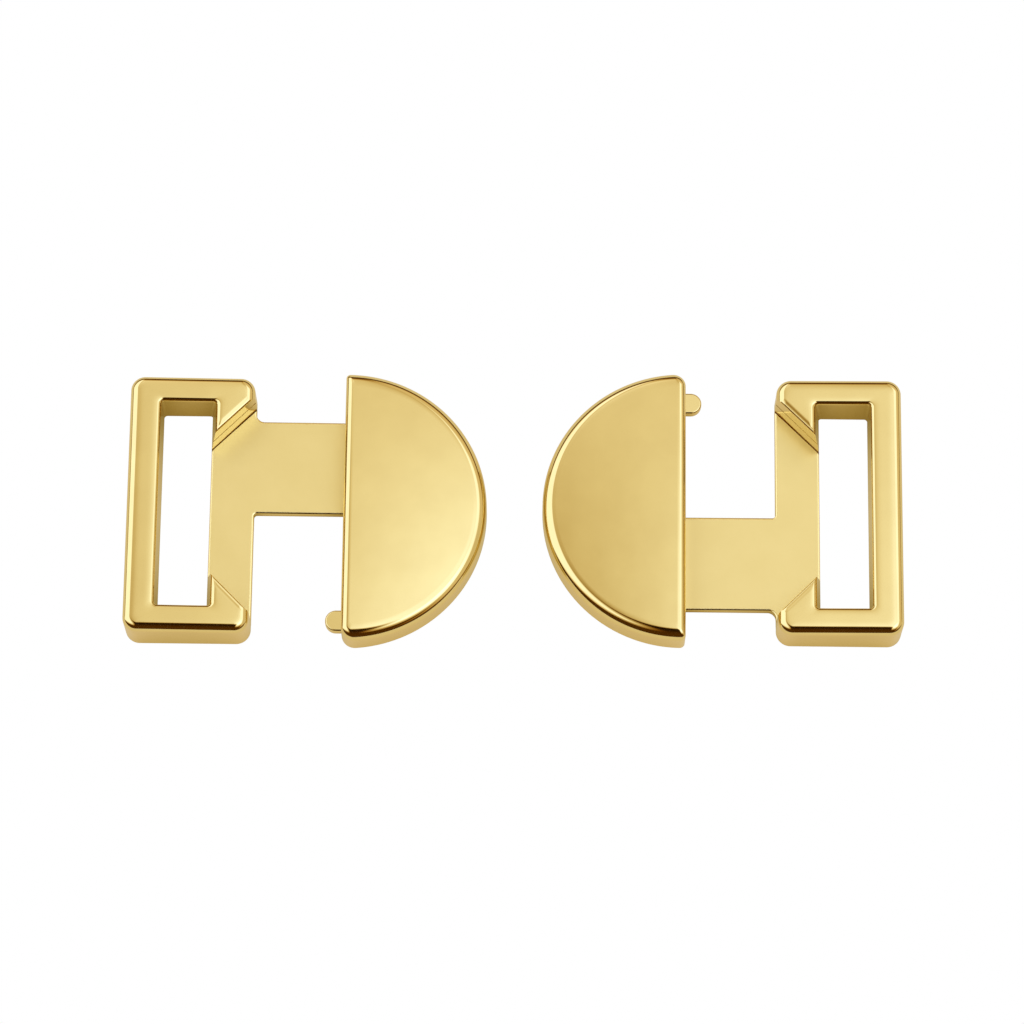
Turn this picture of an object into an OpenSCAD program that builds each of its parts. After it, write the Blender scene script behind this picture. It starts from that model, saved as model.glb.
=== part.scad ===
// Two-part interlocking strap clasp. Both halves are the same casting, and the right half is the left one
// turned by half a turn. A half is built with the seam of the closed clasp at x = 0: its strap frame on the
// -x side, its neck on the +y side, and its half disc on the +x side. It lies on z = 0.

/* [Strap frame] */
// Width of the strap that the frame takes
strap_w = 20; // [19:0.5:21]
// Play between the strap and the two ends of the slot together
strap_play = 0.6; // [0.4:0.1:1]
// Width of the slot, measured along the strap
slot_w = 4.8; // [4.5:0.1:5.2]
// Width of the outer bar, beyond the slot
bar_w = 3; // [2.5:0.1:3.5]
// Width of the post between the slot and the throat
post_w = 4.3; // [4:0.1:4.6]
// Width of the bars at the slot's two ends
end_w = 2.6; // [2.4:0.1:3]
// Height of the frame and the half disc
height = 5.1; // [4.8:0.1:5.6]
// Radius of the frame's upright corners
corner_r = 1.4; // [1.2:0.1:1.6]
// Radius of the round along the frame's top edge
top_round = 0.85; // [0.5:0.05:1.1]
// Radius of the slot's upright corners
slot_corner_r = 0.3; // [0.2:0.1:0.6]
// Radius of the round along the slot's top edge
slot_round = 0.35; // [0.1:0.05:0.4]
// How far the slot's wall beside the throat leans back between the plate and the top
slot_lean = 0.6; // [0.2:0.1:0.8]

/* [Neck plate] */
// Thickness of the low plate that forms the neck and the post's floor
plate_t = 1; // [0.9:0.05:1.1]
// Distance from the centre line to the neck's inner edge
neck_in = 0.15; // [0.1:0.05:0.4]
// Distance from the centre line to the neck's outer edge
neck_out = 9.55; // [9:0.05:9.8]
// Length of the throat between the post and the half disc
throat = 8.85; // [8.7:0.05:9.2]
// Radius in the corner between the neck's outer edge and the post
neck_outer_r = 0.8; // [0.4:0.1:1]
// Radius in the corner between the neck's inner edge and the post
neck_inner_r = 0.3; // [0.2:0.1:0.5]

/* [Half disc] */
// Radius of the half disc
disc_r = 13.5; // [13.3:0.05:13.55]
// Distance from the seam to the centre of the disc's arc
disc_shift = 0.4; // [0.2:0.05:0.5]
// Clearance between a half disc's flat side and the seam
seam_gap = 0.05; // [0.02:0.01:0.1]
// Clearance between the underside of a half disc and the plate that slides under it
disc_lift = 0.15; // [0.1:0.05:0.4]
// Radius of the round along the arc's top edge
disc_round = 1.05; // [0.6:0.05:1.3]
// Radius of the round along the flat side's top edge
flat_round = 0.7; // [0.3:0.1:0.8]
// Chamfer along the arc's bottom edge
disc_chamfer = 0.2; // [0.1:0.05:0.4]
// Radius of the disc's upright corner beside the lug
lug_corner_r = 1.3; // [0.8:0.1:1.5]
// Radius of the disc's upright corner beside the neck
neck_corner_r = 0.5; // [0.4:0.1:0.8]
// How far the neck's root runs under the half disc
root_len = 8; // [6:0.5:8]

/* [Lug] */
// Length of the lug past the disc's flat side
lug_len = 1.6; // [1.3:0.1:1.8]
// Width of the lug
lug_w = 2.1; // [1.8:0.1:2.2]
// Distance from the centre line to the middle of the lug
lug_y = 11.05; // [10.95:0.05:11.2]
// Thickness of the lug
lug_t = 1; // [0.8:0.05:1.1]
// Height of the lug's underside
lug_z = 1.45; // [1.3:0.05:1.7]
// Clearance round the lug in the notch that takes it, under the other half disc
lug_play = 0.15; // [0.1:0.05:0.2]

/* [Pocket for the other half disc] */
// Clearance between the closed half disc and the pocket's slanted walls
pocket_play = 0.35; // [0.3:0.05:0.5]
// Height at which the slanted wall starts to lean in
pocket_step_z = 2.9; // [2.6:0.1:3.2]
// How far the wall leans in between there and the plate
pocket_lean = 0.3; // [0.1:0.05:0.3]
// Radius of the round along the slanted wall's top edge
pocket_round = 0.35; // [0.1:0.05:0.4]

/* [How the halves lie] */
// Distance between the seams of the two halves
apart = 33.2; // [32:0.1:60]
// How far the right half lies behind the left half
behind = 0.4; // [0:0.1:5]

/* [Hidden] */
GOLD = "#e0c878";
ARC_FN = 180;
ROUND_FN = 48;
BEYOND = 1;
OVERSHOOT = 1.2;
WALL_TURN = 135;
CHAMFER_TURN = 45;

post_x = seam_gap - throat;
slot_x = post_x - post_w;
frame_x = slot_x - slot_w - bar_w;
slot_len = strap_w + strap_play;
frame_len = slot_len + 2 * end_w;
disc_under = plate_t + disc_lift;

// Area under a quarter round: wide at the base, and drawn in by the round at its top
module rounded_profile(wide, high, edge) {
    square([wide - edge, high]);
    square([wide, high - edge]);
    translate([wide - edge, high - edge])
        intersection() {
            circle(r = edge, $fn = ROUND_FN);
            square(edge);
        }
}

// Area of a cut whose top flares out, so that it leaves a quarter round on the solid beside it
module flared_profile(wide, high, edge) {
    square([wide, high + BEYOND]);
    difference() {
        translate([0, high - edge])
            square([wide + edge, edge + BEYOND]);
        translate([wide + edge, high - edge])
            circle(r = edge, $fn = ROUND_FN);
    }
}

// Rectangular block centred in x and y, with round upright corners. At the top it flares out or is rounded
module profiled_block(len_x, len_y, corner, high, edge, flared) {
    module section(wide) {
        if (flared)
            flared_profile(wide, high, edge);
        else
            rounded_profile(wide, high, edge);
    }
    module bar(wide, long) {
        rotate([90, 0, 0])
            linear_extrude(long, center = true)
                union() {
                    section(wide / 2);
                    mirror([1, 0])
                        section(wide / 2);
                }
    }
    flat_x = len_x - 2 * corner;
    flat_y = len_y - 2 * corner;
    bar(len_x, flat_y);
    rotate([0, 0, 90])
        bar(len_y, flat_x);
    for (side_x = [-1, 1], side_y = [-1, 1])
        translate([side_x * flat_x / 2, side_y * flat_y / 2, 0])
            rotate_extrude($fn = ROUND_FN)
                section(corner);
}

// Concave fillet between two edges that meet in the origin and run along +x and +y
module corner_fillet(radius) {
    difference() {
        square(radius);
        translate([radius, radius])
            circle(r = radius, $fn = ROUND_FN);
    }
}

// Space on the near side of one slanted pocket wall, for the disc of the other half
module pocket_side() {
    wall = disc_r + pocket_play;
    foot = wall - pocket_lean;
    translate([-disc_shift, 0, 0])
        rotate([0, 0, WALL_TURN])
            rotate([90, 0, 0])
                linear_extrude(2 * frame_len, center = true)
                    union() {
                        polygon([[-wall, plate_t], [foot, plate_t], [wall, pocket_step_z],
                            [wall, height + BEYOND], [-wall, height + BEYOND]]);
                        translate([0, pocket_step_z])
                            flared_profile(wall, height - pocket_step_z, pocket_round);
                    }
}

// Everything that is cut from the post, between the two slanted walls
module pocket() {
    reach = slot_w / 2;
    intersection() {
        pocket_side();
        mirror([0, 1, 0])
            pocket_side();
        translate([slot_x - reach, -frame_len / 2, 0])
            cube([reach + post_w + BEYOND, frame_len, height + 2 * BEYOND]);
    }
}

// What the leaning wall of the slot leaves free, above the plate
module slot_draft() {
    reach = slot_w / 2;
    lean_top = height - slot_round;
    intersection() {
        rotate([90, 0, 0])
            linear_extrude(2 * frame_len, center = true)
                union() {
                    polygon([[-reach, plate_t], [0, plate_t], [slot_lean, lean_top],
                        [slot_lean, height + BEYOND], [-reach, height + BEYOND]]);
                    translate([0, lean_top])
                        flared_profile(slot_lean, slot_round, slot_round);
                }
        rotate([90, 0, 90])
            linear_extrude(2 * slot_w, center = true)
                union() {
                    flared_profile(slot_len / 2, height, slot_round);
                    mirror([1, 0])
                        flared_profile(slot_len / 2, height, slot_round);
                }
    }
}

module strap_frame() {
    frame_w = post_x - frame_x;
    difference() {
        translate([frame_x + frame_w / 2, 0, 0])
            profiled_block(frame_w, frame_len, corner_r, height, top_round, false);
        translate([slot_x - slot_w / 2, 0, -BEYOND])
            profiled_block(slot_w, slot_len, slot_corner_r, height + BEYOND, slot_round, true);
        translate([slot_x, 0, 0])
            slot_draft();
        pocket();
    }
}

module neck() {
    linear_extrude(plate_t) {
        translate([post_x - BEYOND, neck_in])
            square([throat + BEYOND + root_len, neck_out - neck_in]);
        translate([post_x, neck_out])
            corner_fillet(neck_outer_r);
        translate([post_x, neck_in])
            mirror([0, 1])
                corner_fillet(neck_inner_r);
    }
    translate([seam_gap, neck_in, 0])
        cube([root_len, neck_out - neck_in, disc_under + BEYOND]);
}

// Tongue on the disc's flat side, which slips into the notch of the other half disc
module lug() {
    round_x = seam_gap - lug_len + lug_w / 2;
    translate([round_x, -lug_y, lug_z])
        cylinder(d = lug_w, h = lug_t, $fn = ROUND_FN);
    translate([round_x, -lug_y - lug_w / 2, lug_z])
        cube([BEYOND - round_x, lug_w, lug_t]);
}

// Notch under the half disc, beside the neck, for the lug of the other half
module lug_notch() {
    wide = lug_w + 2 * lug_play;
    translate([-BEYOND, lug_y - wide / 2, 0])
        cube([BEYOND + lug_len - seam_gap + lug_play, wide, lug_z + lug_t + lug_play]);
}

// Arc of the disc in section, from its centre out
module disc_section() {
    difference() {
        translate([0, disc_under])
            rounded_profile(disc_r, height - disc_under, disc_round);
        translate([disc_r, disc_under])
            rotate(CHAMFER_TURN)
                square(sqrt(2) * disc_chamfer, center = true);
    }
}

// Area outside a round upright corner of the disc, which is on the +y side
module corner_waste(radius) {
    centre_x = seam_gap + radius;
    arc_x = centre_x - disc_shift;
    centre_y = sqrt(pow(disc_r - radius, 2) - pow(arc_x, 2));
    ray = OVERSHOOT * disc_r / (disc_r - radius);
    difference() {
        polygon([[centre_x, centre_y], [disc_shift + ray * arc_x, ray * centre_y],
            [-BEYOND, ray * centre_y], [-BEYOND, centre_y]]);
        translate([centre_x, centre_y])
            circle(r = radius, $fn = ROUND_FN);
    }
}

module half_disc() {
    difference() {
        intersection() {
            translate([disc_shift, 0, 0])
                rotate_extrude($fn = ARC_FN)
                    disc_section();
            translate([seam_gap + 2 * disc_r, 0, 0])
                rotate([90, 0, 0])
                    linear_extrude(3 * disc_r, center = true)
                        mirror([1, 0])
                            rounded_profile(2 * disc_r, height, flat_round);
        }
        linear_extrude(height + BEYOND) {
            corner_waste(neck_corner_r);
            mirror([0, 1])
                corner_waste(lug_corner_r);
        }
        lug_notch();
    }
}

module clasp_half() {
    union() {
        strap_frame();
        neck();
        half_disc();
        lug();
    }
}

module left_half() {
    color(GOLD)
        translate([-apart / 2, -behind / 2, 0])
            clasp_half();
}

module right_half() {
    color(GOLD)
        rotate([0, 0, 180])
            translate([-apart / 2, -behind / 2, 0])
                clasp_half();
}

left_half();
right_half();
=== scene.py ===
"""Dresses the two halves of a gold-plated strap clasp: cast and polished metal, floor, light and camera."""

import math

import bmesh
import bpy
from mathutils import Matrix, Vector


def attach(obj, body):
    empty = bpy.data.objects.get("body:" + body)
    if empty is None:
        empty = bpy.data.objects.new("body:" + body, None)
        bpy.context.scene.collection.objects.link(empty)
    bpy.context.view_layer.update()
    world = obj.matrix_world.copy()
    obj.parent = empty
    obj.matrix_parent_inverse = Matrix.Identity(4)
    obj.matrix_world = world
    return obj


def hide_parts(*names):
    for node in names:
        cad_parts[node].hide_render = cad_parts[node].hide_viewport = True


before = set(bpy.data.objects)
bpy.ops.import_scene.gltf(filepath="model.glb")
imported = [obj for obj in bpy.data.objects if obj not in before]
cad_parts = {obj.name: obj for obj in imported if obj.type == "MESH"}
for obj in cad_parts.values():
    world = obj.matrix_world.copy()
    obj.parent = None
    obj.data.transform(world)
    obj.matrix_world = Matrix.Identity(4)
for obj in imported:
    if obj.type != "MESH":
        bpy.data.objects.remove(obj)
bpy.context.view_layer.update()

# Sizes of one half in millimetres, in its own frame: the seam of the closed clasp is x = 0, the strap
# frame is on the -x side, the neck on the +y side and the half disc on the +x side
MM = 0.001
APART = 33.2
BEHIND = 0.4
HEIGHT = 5.1
POST_X = -8.8
SLOT_X = -13.1
SLOT_W = 4.8
SLOT_LEAN = 0.6
FRAME_X = -20.9
SLOT_HALF = 10.3
FRAME_HALF = 12.9
CORNER_R = 1.4
SLOT_CORNER_R = 0.3
FOOT_ROUND = 0.3
PLATE_T = 1.0
PLATE_FOOT = 0.12
NECK_IN = 0.15
NECK_OUT = 9.55
NECK_OUTER_R = 0.8
NECK_INNER_R = 0.3
NECK_REACH = 8.0
DISC_R = 13.5
DISC_SHIFT = 0.4
SEAM_GAP = 0.05
DISC_UNDER = 1.15
DISC_FOOT = 0.2
LUG_CORNER_R = 1.3
NECK_CORNER_R = 0.5
LUG_LEN = 1.6
LUG_W = 2.1
LUG_Y = 11.05
LUG_T = 1.0
LUG_Z = 1.45
LUG_PLAY = 0.15
LUG_OVERLAP = 1.0
WALL_R = 13.85
WALL_STEP_Z = 2.9
LEDGE_DROP = 0.05
WALL_FOOT = 0.12
WALL_FOOT_IN = 0.36
WALL_LOW_IN = 0.25
WALL_LEDGE_IN = 0.25
WALL_HIGH_IN = 0.22
ROOT_X = 0.1
ROOT_TOP = 1.5
PLATE_OVERLAP = 0.5

# Section of each polished top edge, from the top down to the upright wall: a row is the radius of an arc in
# millimetres and the tilt in degrees at which it starts
FRAME_EDGE = [(0.85, 2.8)]
SLOT_EDGE = [(0.38, 2.8)]
LEAN_EDGE = [(0.45, 2.8)]
POCKET_EDGE = [(2.2, 2.8), (0.02, 14), (0.3, 35)]
DISC_EDGE = [(1.05, 3)]
FLAT_EDGE = [(0.7, 1)]
PLATE_EDGE = [(0.5, 5), (0.1, 22)]
LUG_EDGE = [(0.2, 10)]

# Where walls lean: a row is a height, and how far the wall is drawn into the metal there. A number less than
# zero is how far it stands out
SLOT_DRIFT = [(PLATE_T, 0.0), (HEIGHT, SLOT_LEAN)]
POCKET_DRIFT = [
    (PLATE_T, -WALL_FOOT_IN),
    (PLATE_T + WALL_FOOT, -WALL_LOW_IN),
    (WALL_STEP_Z - LEDGE_DROP, -WALL_LEDGE_IN),
    (WALL_STEP_Z, -WALL_HIGH_IN),
    (HEIGHT, -WALL_HIGH_IN),
]

# The tops are slightly crowned by the polishing, and fall a little towards +x. All that lies over SETTLE_Z in
# the frame and the disc follows the fall, and in the plate its upper half
TOP_CROWN = 0.014
CROWN_FADE = 2.0
DISC_CROWN = 0.28
FRAME_FALL = math.tan(math.radians(1.4))
DISC_FALL = math.tan(math.radians(1.1))
PLATE_FALL = math.tan(math.radians(0.6))
SETTLE_Z = 3.4

# Where the rings of the disc's top close, and the least radius of the disc's two corners
DISC_MIDDLE = 5.5
CORNER_LEAST = 0.2

# How finely the meshes are divided
ROUND_STEPS = 12
CORNER_PARTS = 16
STRAIGHT_PARTS = 8
FILLET_PARTS = 12
TOP_PARTS = 10
ARC_PARTS = 180
FLAT_PARTS = 40
CROWN_RINGS = 24

# Levels nearer than LEVEL_STEP are taken once, a corner whose sine is less than STRAIGHT is none, points
# nearer than WELD are joined, and an edge that turns more than SHARP_ANGLE stays sharp
LEVEL_STEP = 0.001
STRAIGHT = 0.0005
WELD = 0.0005
SHARP_ANGLE = math.radians(28)

# How much large faces outweigh small ones in the shading, up to 100, which keeps flat faces flat
LARGE_FACES = 100

# The photograph's camera: its distance and target are in millimetres, its focal length is in pixels of the
# photograph, and the range that it sees is in metres
CAMERA_ELEVATION = math.radians(72.5)
CAMERA_AZIMUTH = math.radians(0.662)
CAMERA_DISTANCE = 436.7
CAMERA_TARGET = Vector((-0.260, 0.683, 0.0))
FOCAL_PIXELS = 4472
PHOTO_PIXELS = 1024
SENSOR_MM = 36.0
CLIP_START = 0.01
CLIP_END = 20

# The studio round the clasp, in degrees off the vertical, to the side (+x) and away from the camera (+y).
# A window is where it starts, where it is full, where it fades and where it ends. The box's near edge comes
# nearer by BOX_SLANT for each degree to the side
BOX_SIDE = (-17, -8, 9, 16)
BOX_NEAR = (-10, 6)
BOX_SLANT = 0.9
BOX_FAR = (46, 72)

# The box's level at its middle, its change per degree to the side, per degree away and per product of both,
# how far from the middle it goes on changing, and the most it may be
BOX_MIDDLE = 17.5
BOX_LEVEL = 0.948
BOX_PER_SIDE = 0.046
BOX_PER_AWAY = -0.017
BOX_PER_BOTH = -0.0072
BOX_SIDE_LIMIT = 7
BOX_AWAY_LIMIT = 11
BOX_MOST = 1.42

# Walls and strips beside the box: the side that each stands on, its windows to that side and away, its level
PANELS = [
    (-1, (8, 17, 91, 92), (-50, -15, 60, 80), 0.58),
    (-1, (13, 25, 82, 92), (-50, -25, 60, 75), 0.85),
    (1, (8, 17, 48, 62), (-52, -28, 60, 80), 0.66),
    (1, (48, 62, 91, 92), (-75, -45, 60, 80), 0.66),
    (1, (8, 17, 28, 46), (-52, -28, -5, 12), 0.4),
    (1, (9, 18, 42, 52), (-35, -15, 30, 44), 0.8),
]

# The powers to which the level is raised for red, green and blue, by which weak light is warm
LAMP_WARMTH = (0.72, 1.0, 1.7)

# The colour of the dark in front and behind, from how far to how far away it grows, and its share at each
DARK = (0.05, 0.018, 0.0)
DARK_LEVEL = (8, 60, 0.25, 1.5)

# The least upward part of a direction, by which the angles at the horizon stay under 90 degrees
LEAST_UP = 0.001

# What all but the metal's reflections see of the world and the floor
WHITE = (1, 1, 1, 1)

# Noise in the gold: how it is squeezed along each axis, how many cells a metre holds, and its detail
CLOUD = ((1, 1, 1), 260, 3)
POLISH_LINES = ((1, 0.04, 0.3), 14000, 2)
WAVE = ((1, 1, 1), 320, 1)

# The colours of the polished and of the satin gold at the low and the high end of the cloud's range
CLOUD_RANGE = (-0.6, 0.6)
POLISHED_TONES = ((0.81, 0.64, 0.26, 1), (0.85, 0.68, 0.28, 1))
SATIN_TONES = ((0.85, 0.675, 0.26, 1), (0.88, 0.705, 0.28, 1))

# Roughness of the polished metal and of the satin plate, and how much the cloud adds to it
POLISHED = 0.07
SATIN = 0.36
UNEVEN_GLOSS = 0.015

# The satin ends between these heights in metres
SATIN_Z = (0.0011, 0.0015)

# The upward part of a low face's normal at which satin starts, and at which it is full
SATIN_UP = (0.94, 0.99)

# How high the polishing lines are as a share of the waves, and how high these are in metres
LINE_SHARE = 0.02
WAVE_HEIGHT = 0.000003

# Half the side of the floor, and how far off the metal still hides the sky from it, in metres
FLOOR_HALF = 2.0
FLOOR_REACH = 0.01

# Painted shade and warm painted bounce light that the metal sees in the floor's glow, from where nothing of
# the sky reaches it to where all does
FLOOR_PAINTED_SHADE = [
    (0.0, (0.12, 0.06, 0.01, 1)),
    (0.3, (0.36, 0.26, 0.08, 1)),
    (0.55, (0.64, 0.52, 0.28, 1)),
    (0.75, (0.74, 0.62, 0.42, 1)),
    (1.0, (0.8, 0.74, 0.62, 1)),
]


def add_camera():
    data = bpy.data.cameras.new("photo_camera")
    data.sensor_width = SENSOR_MM
    data.lens = FOCAL_PIXELS / PHOTO_PIXELS * SENSOR_MM
    data.clip_start = CLIP_START
    data.clip_end = CLIP_END
    camera = bpy.data.objects.new("photo_camera", data)
    back = Vector((
        math.sin(CAMERA_AZIMUTH) * math.cos(CAMERA_ELEVATION),
        -math.cos(CAMERA_AZIMUTH) * math.cos(CAMERA_ELEVATION),
        math.sin(CAMERA_ELEVATION),
    ))
    camera.location = (CAMERA_TARGET + back * CAMERA_DISTANCE) * MM
    camera.rotation_euler = back.to_track_quat("Z", "Y").to_euler()
    bpy.context.scene.collection.objects.link(camera)
    bpy.context.scene.camera = camera


class Nodes:
    """Short ways to add and join shader nodes in one tree."""

    def __init__(self, tree):
        self.tree = tree
        tree.nodes.clear()

    def add(self, kind, **settings):
        node = self.tree.nodes.new(kind)
        for name, value in settings.items():
            setattr(node, name, value)
        return node

    def feed(self, socket, value):
        if isinstance(value, bpy.types.NodeSocket):
            self.tree.links.new(value, socket)
        else:
            socket.default_value = value

    def math(self, operation, *values):
        node = self.add("ShaderNodeMath", operation=operation)
        for socket, value in zip(node.inputs, values):
            self.feed(socket, value)
        return node.outputs[0]

    def ramp(self, value, low, high, out_low=0.0, out_high=1.0):
        """Smooth step from out_low at low to out_high at high."""
        node = self.add("ShaderNodeMapRange", interpolation_type="SMOOTHSTEP")
        for socket, number in zip(node.inputs, (value, low, high, out_low, out_high)):
            self.feed(socket, number)
        return node.outputs[0]

    def window(self, value, start, full, fade, end):
        """1 from full to fade, and 0 before start and after end."""
        return self.math("MULTIPLY", self.ramp(value, start, full), self.ramp(value, fade, end, 1.0, 0.0))

    def product(self, first, *others):
        for other in others:
            first = self.math("MULTIPLY", first, other)
        return first

    def held(self, value, most):
        """The value, kept from -most to most."""
        return self.math("MAXIMUM", self.math("MINIMUM", value, most), -most)

    def tones(self, value, stops):
        """Colour at the value, between stops of a value and a colour."""
        node = self.add("ShaderNodeValToRGB")
        self.feed(node.inputs[0], value)
        elements = node.color_ramp.elements
        for element, (place, colour) in zip(elements, (stops[0], stops[-1])):
            element.position, element.color = place, colour
        for place, colour in stops[1:-1]:
            elements.new(place).color = colour
        return node.outputs[0]

    def mix(self, factor, first, second):
        """Colour between the first and the second. The node's colour sockets differ by number only."""
        node = self.add("ShaderNodeMix", data_type="RGBA")
        self.feed(node.inputs["Factor"], factor)
        self.feed(node.inputs[6], first)
        self.feed(node.inputs[7], second)
        return node.outputs[2]

    def axes(self, vector):
        """The three parts of a vector."""
        node = self.add("ShaderNodeSeparateXYZ")
        self.feed(node.inputs[0], vector)
        return node.outputs

    def noise(self, place, squeeze, scale, detail):
        """Noise from -1 to 1 whose cells are 1 / scale metres wide, and longer along an axis
        whose squeeze is less than 1."""
        spread = self.add("ShaderNodeMapping")
        self.feed(spread.inputs["Vector"], place)
        self.feed(spread.inputs["Scale"], squeeze)
        node = self.add("ShaderNodeTexNoise")
        self.feed(node.inputs["Vector"], spread.outputs[0])
        self.feed(node.inputs["Scale"], scale)
        self.feed(node.inputs["Detail"], detail)
        return self.math("MULTIPLY_ADD", node.outputs["Fac"], 2.0, -1.0)

    def send(self, shader, kind):
        """Feeds a shader node into a new output node."""
        self.feed(self.add(kind).inputs[0], shader.outputs[0])


def box_level(nodes, side, away):
    """Level of a soft box overhead, tilted to the far side and brightest at its near right corner."""
    sideways = nodes.held(side, BOX_SIDE_LIMIT)
    further = nodes.held(nodes.math("SUBTRACT", away, BOX_MIDDLE), BOX_AWAY_LIMIT)
    level = nodes.math("MULTIPLY_ADD", sideways, BOX_PER_SIDE, BOX_LEVEL)
    change = nodes.math("MULTIPLY_ADD", sideways, BOX_PER_BOTH, BOX_PER_AWAY)
    level = nodes.math("MULTIPLY_ADD", further, change, level)
    return nodes.product(
        nodes.math("MINIMUM", level, BOX_MOST),
        nodes.window(side, *BOX_SIDE),
        nodes.ramp(nodes.math("MULTIPLY_ADD", side, BOX_SLANT, away), *BOX_NEAR),
        nodes.ramp(away, *BOX_FAR, 1.0, 0.0),
    )


def lamp_colour(nodes, level, away):
    """Colour of light at its level, warmer where it is weaker, over the warm dark in front and behind."""
    gloom = nodes.ramp(nodes.math("ABSOLUTE", away), *DARK_LEVEL)
    lamp = nodes.add("ShaderNodeCombineColor")
    for socket, warmth, dark in zip(lamp.inputs, LAMP_WARMTH, DARK):
        nodes.feed(socket, nodes.math("MULTIPLY_ADD", gloom, dark, nodes.math("POWER", level, warmth)))
    return lamp.outputs[0]


def studio_light():
    """The studio that the metal mirrors: a soft box, walls and strips on both sides, and warm dark. The world
    is white to all else."""
    scene = bpy.context.scene
    scene.view_settings.view_transform = "Standard"
    scene.world = bpy.data.worlds.new("studio")
    scene.world.use_nodes = True
    nodes = Nodes(scene.world.node_tree)
    x, y, z = nodes.axes(nodes.add("ShaderNodeTexCoord").outputs["Generated"])
    up = nodes.math("MAXIMUM", z, LEAST_UP)
    side = nodes.math("DEGREES", nodes.math("ARCTAN2", x, up))
    away = nodes.math("DEGREES", nodes.math("ARCTAN2", y, up))
    level = box_level(nodes, side, away)
    for sign, across, along, strength in PANELS:
        panel = nodes.window(nodes.math("MULTIPLY", side, sign), *across)
        level = nodes.math("ADD", level, nodes.product(panel, nodes.window(away, *along), strength))
    seen = nodes.add("ShaderNodeLightPath").outputs["Is Glossy Ray"]
    glow = nodes.add("ShaderNodeBackground")
    nodes.feed(glow.inputs["Color"], nodes.mix(seen, WHITE, lamp_colour(nodes, level, away)))
    nodes.send(glow, "ShaderNodeOutputWorld")


def floor_material():
    """White without a shadow to the camera. In its reflections it glows with painted shade, darker and warmer
    near the metal, where the metal hides the sky.
    """
    material = bpy.data.materials.new("white_floor")
    material.use_nodes = True
    nodes = Nodes(material.node_tree)
    sky = nodes.add("ShaderNodeAmbientOcclusion")
    nodes.feed(sky.inputs["Distance"], FLOOR_REACH)
    seen = nodes.add("ShaderNodeLightPath").outputs["Is Glossy Ray"]
    glow = nodes.add("ShaderNodeEmission")
    # Painted shade: the glow that reflections see is darkened and warmed by how much the metal hides the sky
    nodes.feed(glow.inputs["Color"], nodes.mix(seen, WHITE, nodes.tones(sky.outputs["AO"], FLOOR_PAINTED_SHADE)))
    nodes.send(glow, "ShaderNodeOutputMaterial")
    return material


def add_floor():
    corners = rectangle(-FLOOR_HALF, -FLOOR_HALF, FLOOR_HALF, FLOOR_HALF)
    floor = make_object("floor", [(x, y, 0.0) for x, y in corners], [(0, 1, 2, 3)])
    floor.data.materials.append(floor_material())


def satin_share(nodes, place):
    """1 on low faces that look up, where no polishing mop reaches, and 0 elsewhere."""
    normal = nodes.add("ShaderNodeNewGeometry").outputs["Normal"]
    low = nodes.ramp(nodes.axes(place)[2], *SATIN_Z, 1.0, 0.0)
    return nodes.math("MULTIPLY", low, nodes.ramp(nodes.axes(normal)[2], *SATIN_UP))


def gold_plate():
    """Gold plate, polished and in part satin: slightly uneven colour and gloss, faint polishing lines and a
    soft waviness."""
    material = bpy.data.materials.new("gold_plate")
    material.use_nodes = True
    nodes = Nodes(material.node_tree)
    place = nodes.add("ShaderNodeTexCoord").outputs["Object"]
    cloud = nodes.noise(place, *CLOUD)
    lines = nodes.noise(place, *POLISH_LINES)
    wave = nodes.noise(place, *WAVE)
    bump = nodes.add("ShaderNodeBump")
    nodes.feed(bump.inputs["Height"], nodes.math("MULTIPLY_ADD", lines, LINE_SHARE, wave))
    nodes.feed(bump.inputs["Distance"], WAVE_HEIGHT)
    tone = nodes.ramp(cloud, *CLOUD_RANGE)
    matt = satin_share(nodes, place)
    colour = nodes.mix(matt, nodes.mix(tone, *POLISHED_TONES), nodes.mix(tone, *SATIN_TONES))
    gloss = nodes.math("MULTIPLY_ADD", matt, SATIN - POLISHED, POLISHED)
    shader = nodes.add("ShaderNodeBsdfPrincipled")
    nodes.feed(shader.inputs["Base Color"], colour)
    nodes.feed(shader.inputs["Metallic"], 1.0)
    nodes.feed(shader.inputs["Roughness"], nodes.math("MULTIPLY_ADD", cloud, UNEVEN_GLOSS, gloss))
    nodes.feed(shader.inputs["Normal"], bump.outputs[0])
    nodes.send(shader, "ShaderNodeOutputMaterial")
    return material


def arc(centre_x, centre_y, radius, start, end, steps):
    """Points of an arc with both its ends. Angles are in degrees."""
    turns = [math.radians(start + (end - start) * i / steps) for i in range(steps + 1)]
    return [(centre_x + radius * math.cos(t), centre_y + radius * math.sin(t)) for t in turns]


def between(first, last, parts):
    """Points that part a straight line, without its ends."""
    return [
        tuple(a + (b - a) * i / parts for a, b in zip(first, last))
        for i in range(1, parts)
    ]


def inward(first, last):
    """Unit normal on the left of an edge, which is the inner side of an anticlockwise outline."""
    x, y = last[0] - first[0], last[1] - first[1]
    long = math.hypot(x, y)
    return -y / long, x / long


def shrink(outline, shift):
    """Moves every edge of a closed anticlockwise outline inwards by the same distance."""
    moved = []
    for i, (x, y) in enumerate(outline):
        ax, ay = inward(outline[i - 1], (x, y))
        bx, by = inward((x, y), outline[(i + 1) % len(outline)])
        cross = ax * by - ay * bx
        if abs(cross) < STRAIGHT:
            moved.append((x + (ax + bx) / 2 * shift, y + (ay + by) / 2 * shift))
        else:
            moved.append((x + (by - ay) / cross * shift, y + (ax - bx) / cross * shift))
    return moved


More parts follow.
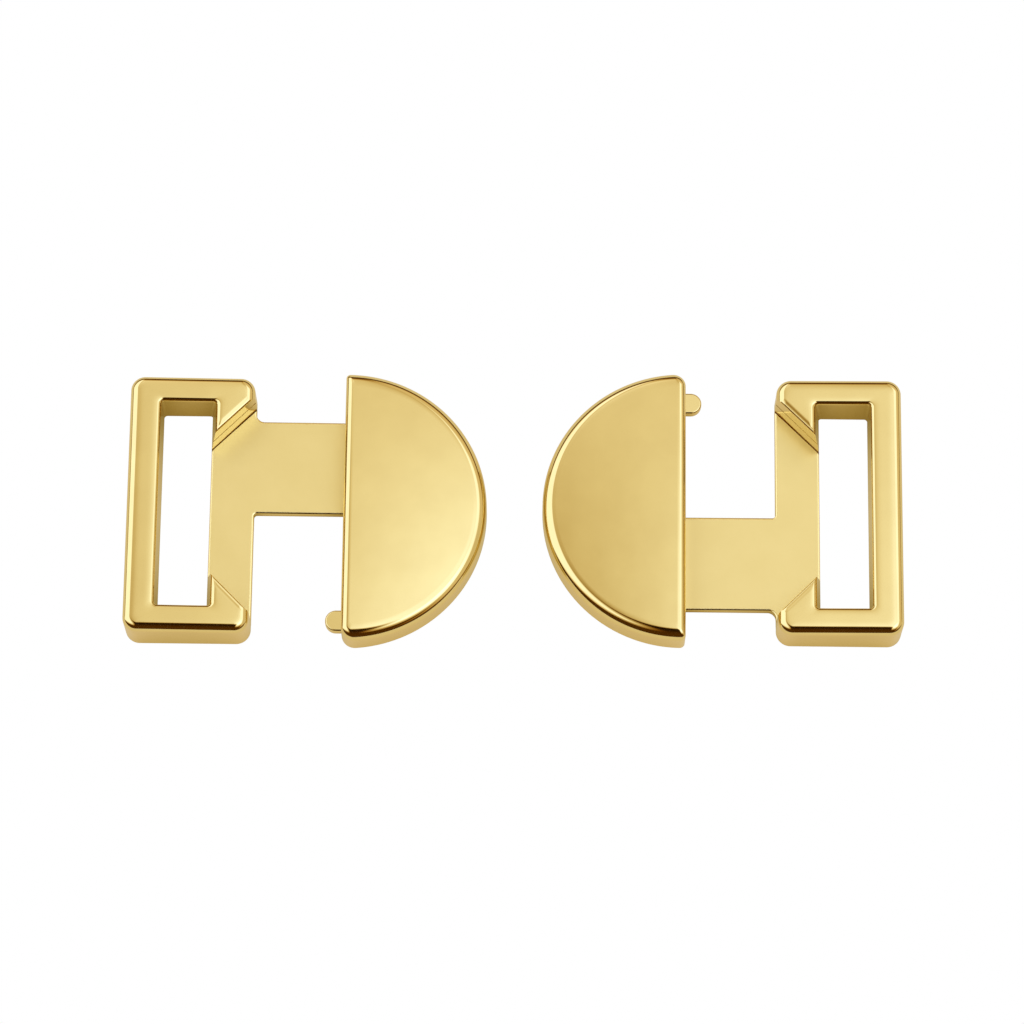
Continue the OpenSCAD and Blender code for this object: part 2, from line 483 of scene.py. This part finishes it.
class Rim:
    """Section of a wall: how far it is drawn into the metal at each height. It has a round at its foot, arcs
    along its top edge, and it may lean in between."""

    def __init__(self, low, high, foot=0.0, edge=(), drift=((0.0, 0.0),)):
        self.low, self.foot, self.drift = low, foot, drift
        quarter = math.pi / 2
        steps = range(ROUND_STEPS + 1)
        self.levels = [low, high, *(z for z, _ in drift if low < z < high)]
        self.levels += [low + foot * (1 - math.cos(quarter * i / ROUND_STEPS)) for i in steps]
        tilts = [math.radians(tilt) for _, tilt in edge] + [quarter]
        arcs = [(radius, tilts[i], tilts[i + 1]) for i, (radius, _) in enumerate(edge)]
        z = high - sum(radius * (math.cos(start) - math.cos(end)) for radius, start, end in arcs)
        drawn = 0.0
        # An arc is kept as its lowest height, how far it is drawn in there, its radius and its tilt there
        self.arcs = []
        for radius, start, end in reversed(arcs):
            self.arcs.append((z, drawn, radius, end))
            turns = [end + (start - end) * i / ROUND_STEPS for i in steps]
            self.levels += [z + radius * (math.cos(turn) - math.cos(end)) for turn in turns]
            z += radius * (math.cos(start) - math.cos(end))
            drawn += radius * (math.sin(end) - math.sin(start))

    def lean(self, z):
        """How far the drift alone draws the wall in at a height."""
        low_z, found = self.drift[0]
        for high_z, drawn in self.drift[1:]:
            if z > low_z:
                found += (drawn - found) * min((z - low_z) / (high_z - low_z), 1.0)
            low_z = high_z
        return found

    def __call__(self, z):
        gap = max(self.low + self.foot - z, 0.0)
        found = self.foot - math.sqrt(max(self.foot ** 2 - gap ** 2, 0.0))
        for base, drawn, radius, end in self.arcs:
            if z > base:
                cosine = min((z - base) / radius + math.cos(end), 1.0)
                found = drawn + radius * (math.sin(end) - math.sqrt(1 - cosine ** 2))
        return found + self.lean(z)


def heights(*rims):
    """All levels that the rims need, with those that nearly meet taken once."""
    found = []
    for z in sorted(z for rim in rims for z in rim.levels):
        if not found or z - found[-1] > LEVEL_STEP:
            found.append(z)
    found[-1] = max(z for rim in rims for z in rim.levels)
    return found


def bands(first, count, rows):
    """Quads between rows of points, where each row is a closed ring of count points."""
    return [
        (first + r * count + i, first + r * count + (i + 1) % count,
         first + (r + 1) * count + (i + 1) % count, first + (r + 1) * count + i)
        for r in range(rows - 1)
        for i in range(count)
    ]


def make_object(name, points, faces):
    mesh = bpy.data.meshes.new(name)
    mesh.from_pydata(points, [], faces)
    mesh.validate()
    thing = bpy.data.objects.new(name, mesh)
    bpy.context.scene.collection.objects.link(thing)
    return thing


def prism(name, outline, rim):
    """Upright solid over an outline, with the rim's section all round."""
    levels = heights(rim)
    rings = [shrink(outline, rim(z)) for z in levels]
    points = [(x, y, z) for ring, z in zip(rings, levels) for x, y in ring]
    count = len(outline)
    faces = bands(0, count, len(levels))
    faces.append(tuple(range(count - 1, -1, -1)))
    faces.append(tuple(range(len(points) - count, len(points))))
    return make_object(name, points, faces)


def around(high_x, low_x, half, corner, wall):
    """Chain of points anticlockwise round a rectangle, open on its high-x side between two slanted lines
    whose distance from the centre line is x + wall."""
    end = high_x + wall
    chain = [(high_x, end), *between((high_x, end), (high_x, half - corner), STRAIGHT_PARTS)]
    chain += arc(high_x - corner, half - corner, corner, 0, 90, CORNER_PARTS)
    chain += between((high_x - corner, half), (low_x + corner, half), STRAIGHT_PARTS)
    chain += arc(low_x + corner, half - corner, corner, 90, 180, CORNER_PARTS)
    chain += between((low_x, half - corner), (low_x, corner - half), 2 * STRAIGHT_PARTS)
    chain += arc(low_x + corner, corner - half, corner, 180, 270, CORNER_PARTS)
    chain += between((low_x + corner, -half), (high_x - corner, -half), STRAIGHT_PARTS)
    chain += arc(high_x - corner, corner - half, corner, 270, 360, CORNER_PARTS)
    return [*chain, *between((high_x, corner - half), (high_x, -end), STRAIGHT_PARTS), (high_x, -end)]


def frame_rims():
    """Sections of the strap frame's outer wall, slot, slanted slot wall and pocket."""
    high = HEIGHT - TOP_CROWN
    return (
        Rim(0.0, high, FOOT_ROUND, FRAME_EDGE),
        Rim(0.0, high, FOOT_ROUND, SLOT_EDGE),
        Rim(0.0, high, FOOT_ROUND, LEAN_EDGE, SLOT_DRIFT),
        Rim(0.0, high, 0.0, POCKET_EDGE, POCKET_DRIFT),
    )


def frame_ring(rims, z):
    """Outline of the strap frame at one height: along its outside, over one end, back along the slot and over
    the other end."""
    outside, slot, lean, pocket = (rim(z) for rim in rims)
    wall = (WALL_R + pocket) * math.sqrt(2) + DISC_SHIFT
    outer = around(POST_X - outside, FRAME_X + outside, FRAME_HALF - outside, CORNER_R - outside, wall)
    inner = around(SLOT_X + lean, SLOT_X - SLOT_W - slot, SLOT_HALF + slot, SLOT_CORNER_R + slot, wall)
    ends = [between(outer[-1], inner[-1], TOP_PARTS), between(inner[0], outer[0], TOP_PARTS)]
    return outer + ends[0] + inner[::-1] + ends[1]


def ring_index(row, column, span):
    """Place in the ring of the point at a row along the frame and a column across it, or None inside.
    The span is the number of rows."""
    if column == 0:
        return row
    if column == TOP_PARTS:
        return 2 * span + TOP_PARTS - 2 - row
    if row == 0:
        return 2 * (span + TOP_PARTS - 1) - column
    if row == span - 1:
        return span - 1 + column
    return None


def cover(points, faces, base, span, crown):
    """Closes the strap frame with quads over the ring that starts at the base point. A crown raises them, and
    without one they are the underside."""
    grid = {}
    for row in range(span):
        near, far = base + row, base + ring_index(row, TOP_PARTS, span)
        end = base if row < span / 2 else base + span - 1
        reach = math.dist(points[near][:2], points[end][:2])
        fade = 1 - max(1 - reach / CROWN_FADE, 0.0) ** 2 if 0 < row < span - 1 else 0.0
        for column in range(TOP_PARTS + 1):
            known = ring_index(row, column, span)
            if known is not None:
                grid[row, column] = base + known
                continue
            part = column / TOP_PARTS
            x, y, z = (a + (b - a) * part for a, b in zip(points[near], points[far]))
            grid[row, column] = len(points)
            points.append((x, y, z + crown * fade * (1 - (2 * part - 1) ** 4)))
    for row in range(span - 1):
        for column in range(TOP_PARTS):
            corners = (row, column), (row + 1, column), (row + 1, column + 1), (row, column + 1)
            quad = tuple(grid[corner] for corner in corners)
            faces.append(quad if crown else quad[::-1])


def strap_frame():
    """The C-shaped part of the frame, at full height, whose two ends are the slanted walls of the pocket."""
    rims = frame_rims()
    levels = heights(*rims)
    rings = [frame_ring(rims, z) for z in levels]
    points = [(x, y, z) for ring, z in zip(rings, levels) for x, y in ring]
    points = [(x, y, z - FRAME_FALL * (x - FRAME_X) if z > SETTLE_Z else z) for x, y, z in points]
    # A ring is two chains of as many points as the span, with TOP_PARTS - 1 points between their ends
    count = len(rings[0])
    span = count // 2 - TOP_PARTS + 1
    last = len(points) - count
    faces = bands(0, count, len(levels))
    cover(points, faces, 0, span, 0.0)
    cover(points, faces, last, span, TOP_CROWN)
    return make_object("strap_frame", points, faces)


def plate_outline():
    """T-shaped outline of the post's floor and the neck. It ends in the strap frame and under the disc."""
    end_y = FRAME_HALF - CORNER_R - PLATE_OVERLAP
    outline = [(SLOT_X, -end_y), (POST_X, -end_y)]
    outline += arc(POST_X + NECK_INNER_R, NECK_IN - NECK_INNER_R, NECK_INNER_R, 180, 90, FILLET_PARTS)
    outline += [(NECK_REACH, NECK_IN), (NECK_REACH, NECK_OUT)]
    outline += arc(POST_X + NECK_OUTER_R, NECK_OUT + NECK_OUTER_R, NECK_OUTER_R, 270, 180, FILLET_PARTS)
    return outline + [(POST_X, end_y), (SLOT_X, end_y)]


def lug_outline():
    tip_x = SEAM_GAP - LUG_LEN + LUG_W / 2
    outline = [(LUG_OVERLAP, -LUG_Y - LUG_W / 2), (LUG_OVERLAP, -LUG_Y + LUG_W / 2)]
    return outline + arc(tip_x, -LUG_Y, LUG_W / 2, 90, 270, 2 * FILLET_PARTS)


def rectangle(low_x, low_y, high_x, high_y):
    return [(low_x, low_y), (high_x, low_y), (high_x, high_y), (low_x, high_y)]


def disc_outline(arc_shift, flat_shift):
    """Outline of the half disc at one height, whose arc and flat side are drawn in by their own distances."""
    flat_x = SEAM_GAP + flat_shift
    radius = DISC_R - arc_shift

    def corner(size):
        """Centre, radius and angle about the disc's centre of a round between the flat side and the arc."""
        small = max(size - arc_shift, CORNER_LEAST)
        x = flat_x + small
        y = math.sqrt((radius - small) ** 2 - (x - DISC_SHIFT) ** 2)
        return x, y, small, math.degrees(math.atan2(y, x - DISC_SHIFT))

    lug_x, lug_y, lug_r, lug_turn = corner(LUG_CORNER_R)
    neck_x, neck_y, neck_r, neck_turn = corner(NECK_CORNER_R)
    outline = between((flat_x, neck_y), (flat_x, -lug_y), FLAT_PARTS)
    outline += arc(lug_x, -lug_y, lug_r, 180, 360 - lug_turn, CORNER_PARTS)
    outline += arc(DISC_SHIFT, 0, radius, -lug_turn, neck_turn, ARC_PARTS)[1:-1]
    return outline + arc(neck_x, neck_y, neck_r, neck_turn, 180, CORNER_PARTS)


def half_disc():
    """The half disc on top of the neck's end, with a crowned and falling top."""
    high = HEIGHT - DISC_CROWN
    arc_rim = Rim(DISC_UNDER, high, DISC_FOOT, DISC_EDGE)
    flat_rim = Rim(DISC_UNDER, high, PLATE_FOOT, FLAT_EDGE)
    levels = heights(arc_rim, flat_rim)
    rings = [disc_outline(arc_rim(z), flat_rim(z)) for z in levels]
    points = [(x, y, z) for ring, z in zip(rings, levels) for x, y in ring]
    count = len(rings[0])
    for i in range(1, CROWN_RINGS):
        part = 1 - i / CROWN_RINGS
        points += [(DISC_MIDDLE + (x - DISC_MIDDLE) * part, y * part, high) for x, y in rings[-1]]
    faces = bands(0, count, len(levels) + CROWN_RINGS - 1)
    faces.append(tuple(range(count - 1, -1, -1)))
    last = len(points) - count
    points.append((DISC_MIDDLE, 0.0, high))
    faces += [(last + i, last + (i + 1) % count, len(points) - 1) for i in range(count)]

    def settled(x, y, z):
        if z < SETTLE_Z:
            return x, y, z
        crown = 1 - ((x - DISC_SHIFT) ** 2 + y ** 2) / DISC_R ** 2
        return x, y, z + DISC_CROWN * crown - DISC_FALL * (x - SEAM_GAP)

    return make_object("half_disc", [settled(*point) for point in points], faces)


def post_and_neck():
    """The low plate of the post's floor and the neck, whose upper side falls towards the disc."""
    plate = prism("plate", plate_outline(), Rim(0.0, PLATE_T, PLATE_FOOT, PLATE_EDGE))
    for point in plate.data.vertices:
        if point.co.z > PLATE_T / 2:
            point.co.z -= PLATE_FALL * (point.co.x - POST_X)
    return plate


def neck_root():
    """The block that joins the neck to the underside of the half disc."""
    outline = rectangle(ROOT_X, NECK_IN, NECK_REACH, NECK_OUT)
    return prism("neck_root", outline, Rim(PLATE_T / 2, ROOT_TOP))


def lug():
    return prism("lug", lug_outline(), Rim(LUG_Z, LUG_Z + LUG_T, PLATE_FOOT, LUG_EDGE))


def notch():
    """What is cut from under the half disc to take the other half's lug, with a little play."""
    half = LUG_W / 2 + LUG_PLAY
    outline = rectangle(-LUG_OVERLAP, LUG_Y - half, LUG_LEN - SEAM_GAP + LUG_PLAY, LUG_Y + half)
    return prism("notch", outline, Rim(0.0, LUG_Z + LUG_T + LUG_PLAY))


def combine(base, added, cut):
    """One closed mesh from solids that overlap, with another solid cut from it."""
    steps = [(other, "UNION") for other in added] + [(cut, "DIFFERENCE")]
    for other, operation in steps:
        step = base.modifiers.new(other.name, "BOOLEAN")
        step.operation = operation
        step.solver = "EXACT"
        step.object = other
    solid = bpy.data.meshes.new_from_object(base.evaluated_get(bpy.context.evaluated_depsgraph_get()))
    for thing in (base, *added, cut):
        bpy.data.objects.remove(thing)
    return solid


def soften(mesh):
    """Joins doubled points and shades the mesh smooth, with only true corners sharp."""
    form = bmesh.new()
    form.from_mesh(mesh)
    bmesh.ops.remove_doubles(form, verts=form.verts, dist=WELD)
    bmesh.ops.dissolve_degenerate(form, edges=form.edges, dist=WELD)
    for face in form.faces:
        face.smooth = True
    for edge in form.edges:
        edge.smooth = not edge.is_manifold or edge.calc_face_angle(0.0) < SHARP_ANGLE
    form.to_mesh(mesh)
    form.free()


def clasp_half(name, turned, node, material):
    """Places one polished casting where its node lies."""
    mesh = combine(strap_frame(), [post_and_neck(), half_disc(), lug(), neck_root()], notch())
    soften(mesh)
    mesh.transform(Matrix.Translation((-APART / 2, -BEHIND / 2, 0)))
    if turned:
        mesh.transform(Matrix.Rotation(math.pi, 4, "Z"))
    mesh.transform(Matrix.Scale(MM, 4))
    mesh.name = name
    mesh.materials.clear()
    mesh.materials.append(material)
    piece = bpy.data.objects.new(name, mesh)
    bpy.context.scene.collection.objects.link(piece)
    weigh = piece.modifiers.new("even_shading", "WEIGHTED_NORMAL")
    weigh.keep_sharp = True
    weigh.weight = LARGE_FACES
    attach(piece, "root")
    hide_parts(node)


add_camera()
studio_light()
add_floor()
gold = gold_plate()
clasp_half("left_clasp_half", False, "left_half", gold)
clasp_half("right_clasp_half", True, "right_half", gold)
